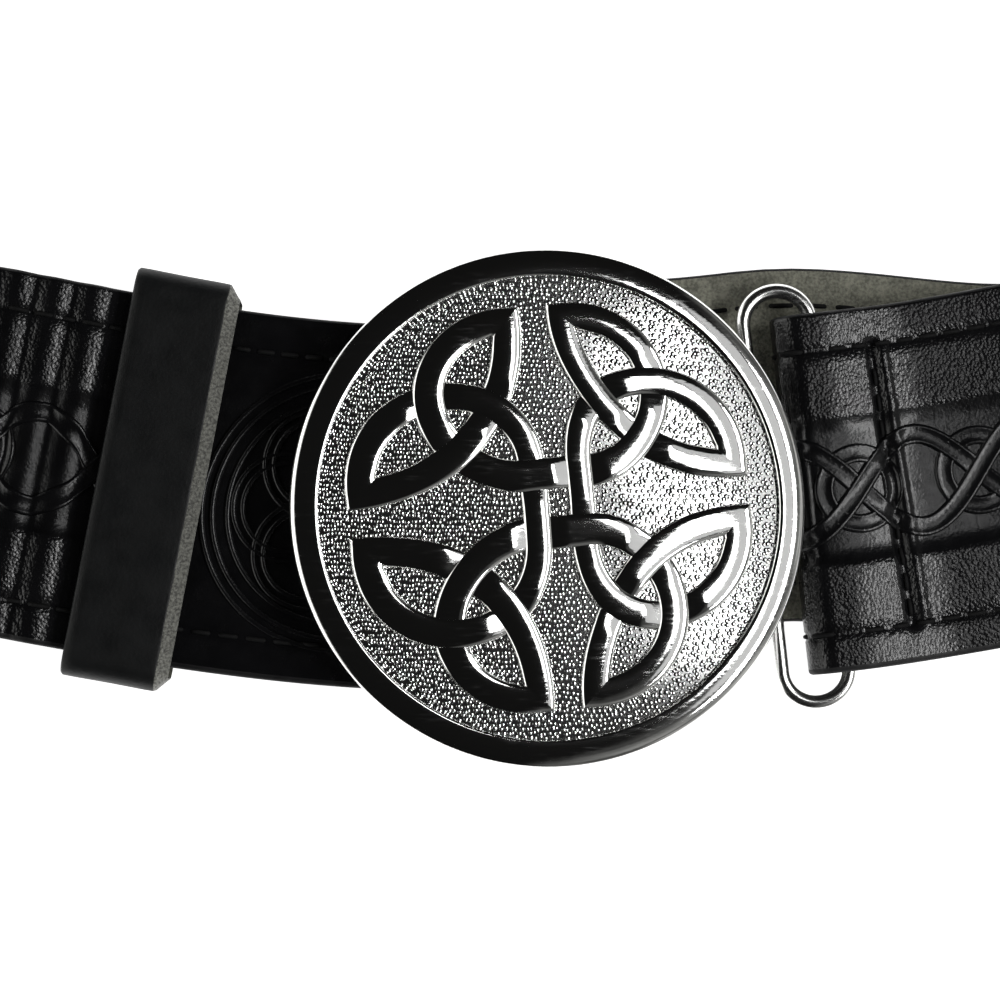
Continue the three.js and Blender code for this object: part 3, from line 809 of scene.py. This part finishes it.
def keeper_piece():
    loop = keeper_loop()
    ahead = Vector((math.cos(keeper_heading), math.sin(keeper_heading), 0))
    across = across_of(keeper_heading)
    origin = Vector((KEEPER_PLACE, front_line(KEEPER_PLACE), 0)) - ahead * (KEEPER_WIDTH / 2)
    sections = []
    for i, (place, height, out_place, out_height) in enumerate(loop):
        section = []
        for width, depth, kind in KEEPER_SECTION:
            fuzz = noise.noise(Vector((i * 0.9, width * 2, depth))) * (0.12 if kind == 1 else 0)
            low = depth + fuzz * 0.5
            point = origin + ahead * (width + fuzz) + across * (place - out_place * low)
            point += UP * (height - out_height * low)
            section.append(point)
        sections.append(section)
    points, faces = skin(sections, True)
    kinds = [kind for _ in loop for _, _, kind in KEEPER_SECTION]
    solids = Solids()
    solids.add(points, faces, kinds)
    finishes = [keeper_finish(), raw_finish(), suede_finish()]
    return fit(solids.piece("keeper_band", finishes, 50), "keeper")


ring_bar_gap = RING_BREADTH - RING_WIRE


def ring_spot(back):
    """A place on the ring's middle line, some way back from the bar in the strap's fold."""
    ahead = RING_SLACK - back
    x = RING_PLACE + ahead * math.cos(RING_LEAN)
    return Vector((x, RING_RISE + ahead * math.sin(RING_LEAN), ring_height))


def ring_piece():
    round_ = ring_bar_gap / 2
    straight = STRAP_WIDTH / 2 + RING_SIDE_REACH - RING_WIRE / 2 - RING_END_DEPTH
    half = []
    for i in range(49):
        angle = math.pi * i / 48
        out = Vector((RING_END_DEPTH * math.cos(angle), round_ * math.sin(angle))).normalized()
        half.append((round_ * math.cos(angle), straight + RING_END_DEPTH * math.sin(angle), out.x, out.y))
    for i in range(1, 30):
        half.append((-round_, straight * (1 - i / 15), -1, 0))
    line = half + [(-x, -y, -out_x, -out_y) for x, y, out_x, out_y in half]
    cos, sin = math.cos(RING_LEAN), math.sin(RING_LEAN)
    centre = ring_spot(ring_bar_gap / 2)
    sections = []
    for x, y, out_x, out_y in line:
        section = []
        for k in range(24):
            angle = 2 * math.pi * k / 24
            reach = RING_WIRE / 2 * math.cos(angle)
            local_x, local_y = x + out_x * reach, y + out_y * reach
            section.append(centre + Vector((local_x * cos - local_y * sin, local_x * sin + local_y * cos,
                                            RING_WIRE / 2 * math.sin(angle))))
        sections.append(section)
    solids = Solids()
    solids.add(*skin(sections, True))
    finish = chrome_finish("chrome wire", 0.2, 0.12, 0.03)
    return fit(solids.piece("ring_wire", [finish]), "ring")


def domed(points):
    """Adds the plate's swell, tilts it and lifts it to its place."""
    points = np.array(points, dtype=float)
    x, y = points[..., 0], points[..., 1]
    z = points[..., 2] + PLATE_DOME * np.maximum(0, 1 - (x ** 2 + y ** 2) / PLATE_RADIUS ** 2)
    cos, sin = math.cos(PLATE_TILT), math.sin(PLATE_TILT)
    return np.stack([x * cos + z * sin, y, z * cos - x * sin + plate_lift], axis=-1)


def turned(profile, count):
    """A skin of the plate through rings of given radii and heights."""
    turns = circle(count)
    rings = [np.stack([r * np.cos(turns), r * np.sin(turns), np.full_like(turns, z)], axis=-1)
             for r, z in profile]
    return skin(domed(rings))


def plate_part(solids, name, finish, crease):
    return fit(solids.piece(name, [finish], crease), "buckle_plate")


# Shares of the rim's width, in from the outer edge, and of its height
RIM_SECTION = [
    (0.2, 0), (0.05, 0.07), (0, 0.2), (0, 0.6), (0.012, 0.74), (0.05, 0.82), (0.11, 0.88), (0.18, 0.925),
    (0.26, 0.955), (0.35, 0.98), (0.46, 0.995), (0.58, 1), (0.7, 1), (0.8, 0.994), (0.87, 0.978),
    (0.914, 0.94), (0.937, 0.85), (0.948, 0.7), (0.955, 0.5),
]


def smoothed(points, steps):
    """More points on a smooth curve through the given ones."""
    points = np.array(points, dtype=float)
    padded = np.vstack([2 * points[0] - points[1], points, 2 * points[-1] - points[-2]])
    dense = []
    for i in range(len(points) - 1):
        a, b, c, d = padded[i:i + 4]
        bend = 2 * a - 5 * b + 4 * c - d
        twist = 3 * b - a - 3 * c + d
        for k in range(steps):
            t = k / steps
            dense.append(0.5 * (2 * b + (c - a) * t + bend * t * t + twist * t ** 3))
    return np.array(dense + [points[-1]])


def rim_piece():
    """The plate's body: its back and its rounded rim."""
    rim = smoothed(RIM_SECTION, 2)
    ground = PLATE_RADIUS - RIM_WIDTH
    floor = PLATE_GROUND - 0.6
    profile = [(0.5, 0)] + [(ground * k / 5, 0) for k in range(1, 6)]
    profile += [(PLATE_RADIUS - inward * RIM_WIDTH, rise * RIM_HEIGHT) for inward, rise in rim]
    profile += [(ground * k / 5, floor) for k in range(5, 0, -1)] + [(0.5, floor)]
    solids = Solids()
    solids.add(*turned(profile, 288))
    return plate_part(solids, "plate_body", chrome_finish("polished chrome", 0.07, 0.14, 0.035), 55)


def cell_hash(i, j, seed):
    """An even number from 0 to 1 for each cell of a grid."""
    mixed = np.sin(i * 127.1 + j * 311.7 + seed * 74.7) * 43758.5453
    return mixed - np.floor(mixed)


def ground_skin():
    """The smooth ground between the pebbles."""
    radius = PLATE_RADIUS - RIM_WIDTH + 0.3
    floor = PLATE_GROUND - 0.9
    profile = [(0.3, floor), (radius, floor)]
    profile += [(radius * k / 24, PLATE_GROUND) for k in range(24, 0, -1)] + [(0.3, PLATE_GROUND)]
    return turned(profile, 144)


def pebble_spots(spacing):
    """Places of the pebbles, evenly scattered, and left out where a strand covers them."""
    reach = math.ceil(PLATE_RADIUS / spacing)
    i, j = np.meshgrid(np.arange(-reach, reach + 1), np.arange(-reach * 1.2, reach * 1.2 + 1), indexing="ij")
    x = (i + 0.5 * (j % 2) + 0.62 * (cell_hash(i, j, 1) - 0.5)) * spacing
    y = (j * 0.87 + 0.56 * (cell_hash(i, j, 2) - 0.5)) * spacing
    size = 0.78 + 0.4 * cell_hash(i, j, 3)
    spots = np.stack([x.ravel(), y.ravel(), size.ravel()], axis=1)
    spots = spots[np.hypot(spots[:, 0], spots[:, 1]) < PLATE_RADIUS - RIM_WIDTH + 0.15]
    line = np.array([on_plate(x, y, -quarter * math.pi / 2) for quarter in range(4)
                     for x, y, _, _ in weaving_strand() + quarter_strand()])
    away = np.min(np.hypot(spots[:, :1] - line[:, 0], spots[:, 1:2] - line[:, 1]), axis=1)
    return spots[away > STRAND_WIDTH / 2 - 0.15]


def pebble_skins(spots, radius, height):
    """Small domes, each a closed surface that stands a little in the ground."""
    sides = 9
    turns = circle(sides)
    rings = [(1.02, -0.9), (1, -0.05), (0.84, 0.3), (0.5, 0.75)]
    parts = []
    for share, rise in rings:
        reach = spots[:, 2:] * radius * share
        x = spots[:, :1] + reach * np.cos(turns)
        y = spots[:, 1:2] + reach * np.sin(turns)
        z = np.full_like(x, PLATE_GROUND) + rise * height * spots[:, 2:]
        parts.append(np.stack([x, y, z], axis=-1))
    tops = np.stack([spots[:, 0], spots[:, 1], PLATE_GROUND + height * spots[:, 2]], axis=-1)[:, None]
    points = np.concatenate(parts + [tops], axis=1)
    each = sides * len(rings) + 1
    shape = [tuple(reversed(range(sides)))]
    for ring in range(len(rings) - 1):
        low, high = ring * sides, (ring + 1) * sides
        shape += [(low + k, low + (k + 1) % sides, high + (k + 1) % sides, high + k) for k in range(sides)]
    last = (len(rings) - 1) * sides
    shape += [(last + k, last + (k + 1) % sides, each - 1) for k in range(sides)]
    faces = [tuple(corner + n * each for corner in face) for n in range(len(spots)) for face in shape]
    return domed(points), faces


def ground_piece():
    """The pebbled ground inside the rim."""
    buckle = bpy.context.scene.belt_buckle
    spots = pebble_spots(buckle.pebble_spacing / MM)
    solids = Solids()
    solids.add(*ground_skin())
    solids.add(*pebble_skins(spots, buckle.pebble_size / MM / 2, buckle.pebble_height / MM))
    return plate_part(solids, "plate_ground", chrome_finish("pebbled chrome", 0.12, 0.08, 0.015), 40)


def arc_points(centre_x, centre_y, radius, start, end, steps):
    turn = 1 if end > start else -1
    points = []
    for i in range(steps + 1):
        angle = lerp(start, end, i / steps)
        points.append((centre_x + radius * math.cos(angle), centre_y + radius * math.sin(angle),
                       -turn * math.sin(angle), turn * math.cos(angle)))
    return points


def weaving_strand():
    """From the upper left corner round one loop, through the weave and round the next loop."""
    half = math.pi / 2
    first = arc_points(-loop_centre_x, loop_centre_y, loop_radius, half, 3 * half, 96)
    second = arc_points(loop_centre_x, loop_centre_y, loop_radius, -half, half, 96)
    weave = [(WEAVE_OFFSET * k / 12, WEAVE_OFFSET, 1, 0) for k in range(-12, 13)]
    tail = [(-strand_line - LOOP_OFFSET * k / 3, strand_reach, -1, 0) for k in range(3)]
    head = [(strand_line + LOOP_OFFSET * k / 3, strand_reach, -1, 0) for k in range(2, -1, -1)]
    return tail + first + weave + second + head


def quarter_strand():
    """The quarter circle that joins the two outer corners of a knot."""
    return arc_points(-strand_reach, strand_reach, quarter_radius, 0, -math.pi / 2, 96)


def crossing(first, second):
    """Where two circles cross, on the side away from the corner."""
    gap_x, gap_y = second[0] - first[0], second[1] - first[1]
    gap = math.hypot(gap_x, gap_y)
    along = (first[2] ** 2 - second[2] ** 2 + gap ** 2) / (2 * gap)
    aside = math.sqrt(first[2] ** 2 - along ** 2)
    x = first[0] + (along * gap_x - aside * gap_y) / gap
    y = first[1] + (along * gap_y + aside * gap_x) / gap
    return x, y


leading_loop = (-loop_centre_x, loop_centre_y, loop_radius)
trailing_loop = (-loop_centre_y, loop_centre_x, loop_radius)
quarter_circle = (-strand_reach, strand_reach, quarter_radius)
outer_crossing = crossing(trailing_loop, leading_loop)
weaving_dips = [
    crossing(leading_loop, quarter_circle),
    (WEAVE_OFFSET, WEAVE_OFFSET),
    (-outer_crossing[0], outer_crossing[1]),
]
quarter_dips = [crossing(quarter_circle, trailing_loop)]

# Shares of a strand's half width, and of its height, from one side to the other
STRAND_SECTION = mirrored([
    (-1, None), (-1, 0.3), (-0.975, 0.52), (-0.925, 0.71), (-0.84, 0.835), (-0.7, 0.91), (-0.5, 0.962),
    (-0.26, 0.992), (0, 1),
])


def dip_at(x, y, dips):
    deepest = 0
    for dip_x, dip_y in dips:
        near = math.hypot(x - dip_x, y - dip_y) / DIP_REACH
        if near < 1:
            deepest = max(deepest, (1 - near * near) ** 2)
    return STRAND_DIP * deepest


def on_plate(x, y, quarter_turn):
    """Turns the pattern on the plate and draws its middle a little aside."""
    turned_x = x * math.cos(quarter_turn) - y * math.sin(quarter_turn)
    turned_y = x * math.sin(quarter_turn) + y * math.cos(quarter_turn)
    near = max(0, 1 - (x * x + y * y) / (KNOT_REACH * KNOT_REACH)) ** 2
    moved_x = turned_x * (1 - KNOT_SQUEEZE * near) + KNOT_SHIFT_X * near
    moved_y = turned_y * (1 + KNOT_SQUEEZE * near) + KNOT_SHIFT_Y * near
    cos, sin = math.cos(KNOT_TURN), math.sin(KNOT_TURN)
    return moved_x * cos - moved_y * sin, moved_x * sin + moved_y * cos


def strand_skin(line, dips, quarter_turn, lean):
    """A strand whose two ends are cut on the slant, to meet its neighbour in a pointed corner."""
    path = np.array([(x, y) for x, y, _, _ in line])
    far = np.concatenate(([0], np.cumsum(np.linalg.norm(np.diff(path, axis=0), axis=1))))
    near_end = np.clip(1 - far / STRAND_WIDTH, 0, 1) - np.clip(1 - (far[-1] - far) / STRAND_WIDTH, 0, 1)
    sections = []
    for (x, y, go_x, go_y), slant in zip(line, near_end * lean):
        height = STRAND_HEIGHT - dip_at(x, y, dips)
        section = []
        for across, rise in STRAND_SECTION:
            aside = across * STRAND_WIDTH / 2
            spot_x, spot_y = on_plate(
                x + (slant * go_x - go_y) * aside, y + (slant * go_y + go_x) * aside, quarter_turn,
            )
            z = PLATE_GROUND + (-STRAND_ROOT if rise is None else rise * height)
            section.append((spot_x, spot_y, z))
        sections.append(section)
    return skin(domed(sections))


def knot_piece():
    """The raised knotwork, a three-cornered knot in each quarter."""
    solids = Solids()
    for quarter in range(4):
        quarter_turn = -quarter * math.pi / 2
        solids.add(*strand_skin(weaving_strand(), weaving_dips, quarter_turn, 1))
        solids.add(*strand_skin(quarter_strand(), quarter_dips, quarter_turn, -1))
    return plate_part(solids, "plate_knots", chrome_finish("polished knot chrome", 0.06, 0.14, 0.035), 60)


def plate_underside(x, y):
    swell = PLATE_DOME * max(0, 1 - (x * x + y * y) / PLATE_RADIUS ** 2)
    return plate_lift - x * math.tan(PLATE_TILT) + swell


def rod(start, end, radius):
    """A rod with domed ends."""
    start, end = Vector(start), Vector(end)
    along = (end - start).normalized()
    across = along.orthogonal().normalized()
    other = along.cross(across)
    angles = [math.pi / 2 * i / 6 for i in range(1, 7)]
    stops = [(start - along * (radius * math.cos(a)), radius * math.sin(a)) for a in angles]
    stops += [(end + along * (radius * math.cos(a)), radius * math.sin(a)) for a in reversed(angles)]
    outward = [across * math.cos(turn) + other * math.sin(turn) for turn in circle(28)]
    return skin([[middle + out * size for out in outward] for middle, size in stops])


def hook_skin():
    seat = RING_WIRE / 2 + HOOK_CLEARANCE
    origin = ring_spot(ring_bar_gap)
    top = plate_underside(origin.x, origin.y) + PLATE_GROUND / 2 - ring_height
    lip, foot = -seat - HOOK_LIP, -seat - HOOK_FOOT
    grip = RING_WIRE / 4
    back = seat + HOOK_STEM
    outline = [
        (lip + 0.5, foot), (back - 0.7, foot), (back, foot + 0.7), (back, top), (seat, top),
        (seat, -seat + 0.4), (seat - 0.4, -seat), (-seat + 0.3, -seat), (-seat, -seat + 0.3),
        (-seat, grip - 0.3), (-seat - 0.4, grip), (lip + 0.4, grip), (lip, grip - 0.4), (lip, foot + 0.5),
    ]
    centre = Vector((sum(x for x, _ in outline) / len(outline), sum(z for _, z in outline) / len(outline)))
    cos, sin = math.cos(RING_LEAN), math.sin(RING_LEAN)
    sections = []
    for y, inset in ((-1, 0.06), (-0.96, 0.01), (-0.9, 0), (0.9, 0), (0.96, 0.01), (1, 0.06)):
        width = y * HOOK_WIDTH / 2
        section = []
        for x, z in outline:
            near_x, near_z = lerp(x, centre.x, inset), lerp(z, centre.y, inset) if z < top else z
            section.append(origin + Vector((near_x * cos - width * sin, near_x * sin + width * cos, near_z)))
        sections.append(section)
    return skin(sections)


def fittings_piece():
    """The bar that carries the strap, its posts and the hook that holds the ring."""
    solids = Solids()
    ends = [Vector((BAR_PLACE, side * bar_end, BAR_HEIGHT)) for side in (-1, 1)]
    solids.add(*rod(*ends, BAR_DIAMETER / 2))
    top = plate_underside(BAR_PLACE, bar_end) + PLATE_GROUND / 4 - POST_DIAMETER / 2
    for foot in ends:
        solids.add(*rod(foot, (foot.x, foot.y, top), POST_DIAMETER / 2))
    solids.add(*hook_skin())
    return plate_part(solids, "bar_and_hook", chrome_finish("cast chrome", 0.18, 0.15, 0.05), 45)


def floor_piece():
    studio = bpy.context.scene.belt_studio
    mesh = bpy.data.meshes.new("floor")
    reach = FLOOR_REACH * MM
    corners = [(-reach, -reach, 0), (reach, -reach, 0), (reach, reach, 0), (-reach, reach, 0)]
    mesh.from_pydata(corners, [], [(0, 1, 2, 3)])
    finish = Finish("lit table", Roughness=0.9, Emission_Color=(1, 1, 1, 1), Emission_Strength=studio.table)
    mesh.materials.append(finish.tinted(finish.cloud(400).ramp(0.2, 0.8), studio.floor, 1, 0.985))
    made = bpy.data.objects.new("floor", mesh)
    bpy.context.collection.objects.link(made)
    return made


def softbox(name, spot, target, size, power):
    """A softbox of a breadth seen from the belt's side, and of a length across the belt."""
    light = bpy.data.lights.new(name, "AREA")
    light.shape = "RECTANGLE"
    light.size_y, light.size = size[0] * MM, size[1] * MM
    light.energy = power
    made = bpy.data.objects.new(name, light)
    made.location = Vector(spot) * MM
    made.rotation_euler = (Vector(target) - Vector(spot)).to_track_quat("-Z", "Y").to_euler()
    bpy.context.collection.objects.link(made)
    return made


def dim_sky():
    """A dark studio with a bright strip low on the left and a clouded glow on the right."""
    studio = bpy.context.scene.belt_studio
    world = bpy.data.worlds.new("studio")
    world.use_nodes = True
    bpy.context.scene.world = world
    nodes = Value(world.node_tree)
    heading = nodes.node("ShaderNodeTexCoord", output="Generated")
    x, y = [nodes.node("ShaderNodeSeparateXYZ", {}, {0: heading}, axis) for axis in "XY"]
    clouds = nodes.node("ShaderNodeTexNoise", {}, {"Vector": heading, "Scale": 3.5, "Detail": 2}, "Fac")
    left = (0 - x).ramp(0.7, 0.85) * studio.left_glow
    patches = clouds.ramp(0.38, 0.62) * 0.8 + 0.2
    right = (x - y * 0.3).ramp(0.34, 0.85) * patches * studio.right_glow
    glow = left + right + studio.zenith
    light = nodes.node("ShaderNodeCombineXYZ", {}, {"X": glow, "Y": glow, "Z": glow * 0.97})
    nodes.feed(world.node_tree.nodes["Background"].inputs["Color"], light)


def camera_piece():
    studio = bpy.context.scene.belt_studio
    target = Vector(CAMERA_TARGET) * MM
    aside_x, aside_y = CAMERA_ASIDE
    spot = target + Vector((aside_x * MM, aside_y * MM, studio.camera_height))
    camera = bpy.data.cameras.new("camera")
    camera.lens = SENSOR_BREADTH * studio.camera_height / (PICTURE_BREADTH * MM)
    camera.clip_start = 0.01
    made = bpy.data.objects.new("camera", camera)
    back = (spot - target).normalized()
    right = Vector((0, 1, 0)).cross(back).normalized()
    turn = Matrix((right, back.cross(right), back)).transposed().to_4x4()
    made.matrix_world = Matrix.Translation(spot) @ turn
    bpy.context.collection.objects.link(made)
    bpy.context.scene.camera = made


def length(name, description, default):
    return bpy.props.FloatProperty(
        name=name, description=description, default=default * MM, unit="LENGTH", precision=5,
    )


def shade(name, description, default):
    return bpy.props.FloatVectorProperty(
        name=name, description=description, default=default, subtype="COLOR", size=3, min=0, max=1,
    )


def strength(name, description, default):
    return bpy.props.FloatProperty(name=name, description=description, default=default, min=0)


class BeltLeather(bpy.types.PropertyGroup):
    stitch_pitch: length("Stitch pitch", "Distance from one stitch to the next", 4.1)
    stitch_length: length("Stitch length", "Length of thread that shows in a stitch", 3.3)
    thread_thickness: length("Thread", "Thickness of the thread", 0.75)
    band_depth: length("Band depth", "Depth of the pressed band's ground", 0.35)
    band_repeat: length("Band repeat", "Distance between the band's rings", 20)
    black: shade("Black leather", "Colour of the grain side", (0.004, 0.004, 0.0045))
    keeper_black: shade("Keeper leather", "Colour of the keeper", (0.003, 0.0034, 0.0037))
    flesh: shade("Flesh side", "Colour of the suede side", (0.2, 0.2, 0.16))
    raw_edge: shade("Raw edge", "Colour of the keeper's cut edge", (0.17, 0.17, 0.15))
    thread: shade("Thread", "Colour of the stitches", (0.002, 0.002, 0.0022))


class BeltBuckle(bpy.types.PropertyGroup):
    pebble_spacing: length("Pebbles", "Distance between the ground's grains", 0.8)
    pebble_size: length("Pebble size", "Breadth of the ground's grains", 0.74)
    pebble_height: length("Pebble height", "Height of the ground's grains", 0.115)
    chrome: shade("Chrome", "Colour of the plated metal", (0.86, 0.86, 0.85))


class BeltStudio(bpy.types.PropertyGroup):
    camera_height: length("Camera height", "Distance of the camera from the belt", 450)
    floor: shade("Floor", "Colour of the floor", (0.9, 0.9, 0.9))
    table: strength("Table light", "Light that the table gives off", 0.95)
    left_glow: strength("Left glow", "Brightness of the studio low on the left", 2.2)
    right_glow: strength("Right glow", "Brightness of the studio on the right", 0.5)
    zenith: strength("Zenith", "Brightness of the studio overhead", 0.006)
    key: strength("Key light", "Power of the large light on the right", 3)
    window: strength("Window", "Power of the small bright light beside the camera", 0.24)
    screen: strength("Screen", "Power of the dim light between the window and the key light", 0.1)


class AddStrap(bpy.types.Operator):
    """Add the strap with its pressed band, medallion and stitches"""
    bl_idname = "belt.add_strap"
    bl_label = "Add Strap"

    def execute(self, context):
        strap_piece()
        band_piece()
        medallion_piece()
        stitch_piece()
        return {"FINISHED"}


class AddKeeper(bpy.types.Operator):
    """Add the leather keeper"""
    bl_idname = "belt.add_keeper"
    bl_label = "Add Keeper"

    def execute(self, context):
        keeper_piece()
        return {"FINISHED"}


class AddRing(bpy.types.Operator):
    """Add the wire ring"""
    bl_idname = "belt.add_ring"
    bl_label = "Add Ring"

    def execute(self, context):
        ring_piece()
        return {"FINISHED"}


class AddBuckle(bpy.types.Operator):
    """Add the buckle plate with its knotwork, bar and hook"""
    bl_idname = "belt.add_buckle"
    bl_label = "Add Buckle"

    def execute(self, context):
        rim_piece()
        ground_piece()
        knot_piece()
        fittings_piece()
        return {"FINISHED"}


class AddStage(bpy.types.Operator):
    """Add the floor, the lights and the camera"""
    bl_idname = "belt.add_stage"
    bl_label = "Add Stage"

    def execute(self, context):
        studio = context.scene.belt_studio
        floor_piece()
        softbox("key softbox", (500, -40, 600), (0, 0, 10), (120, 620), studio.key)
        softbox("window", (226, 45, 620), (15, 0, 20), (60, 250), studio.window)
        softbox("screen", (322, 20, 600), (15, 0, 20), (130, 420), studio.screen)
        dim_sky()
        camera_piece()
        context.scene.view_settings.view_transform = "Standard"
        return {"FINISHED"}


class BeltPanel(bpy.types.Panel):
    bl_label = "Kilt Belt"
    bl_idname = "VIEW3D_PT_kilt_belt"
    bl_space_type = "VIEW_3D"
    bl_region_type = "UI"
    bl_category = "Kilt Belt"

    def draw(self, context):
        for group in (context.scene.belt_leather, context.scene.belt_buckle, context.scene.belt_studio):
            for name in group.__annotations__:
                self.layout.prop(group, name)
        for operator in (AddStrap, AddKeeper, AddRing, AddBuckle, AddStage):
            self.layout.operator(operator.bl_idname)


classes = (BeltLeather, BeltBuckle, BeltStudio, AddStrap, AddKeeper, AddRing, AddBuckle, AddStage, BeltPanel)


def register():
    for item in classes:
        bpy.utils.register_class(item)
    bpy.types.Scene.belt_leather = bpy.props.PointerProperty(type=BeltLeather)
    bpy.types.Scene.belt_buckle = bpy.props.PointerProperty(type=BeltBuckle)
    bpy.types.Scene.belt_studio = bpy.props.PointerProperty(type=BeltStudio)


def unregister():
    del bpy.types.Scene.belt_studio
    del bpy.types.Scene.belt_buckle
    del bpy.types.Scene.belt_leather
    for item in reversed(classes):
        bpy.utils.unregister_class(item)


def main():
    register()
    bpy.ops.belt.add_stage()
    bpy.ops.belt.add_strap()
    bpy.ops.belt.add_keeper()
    bpy.ops.belt.add_ring()
    bpy.ops.belt.add_buckle()


if __name__ == "__main__":
    main()
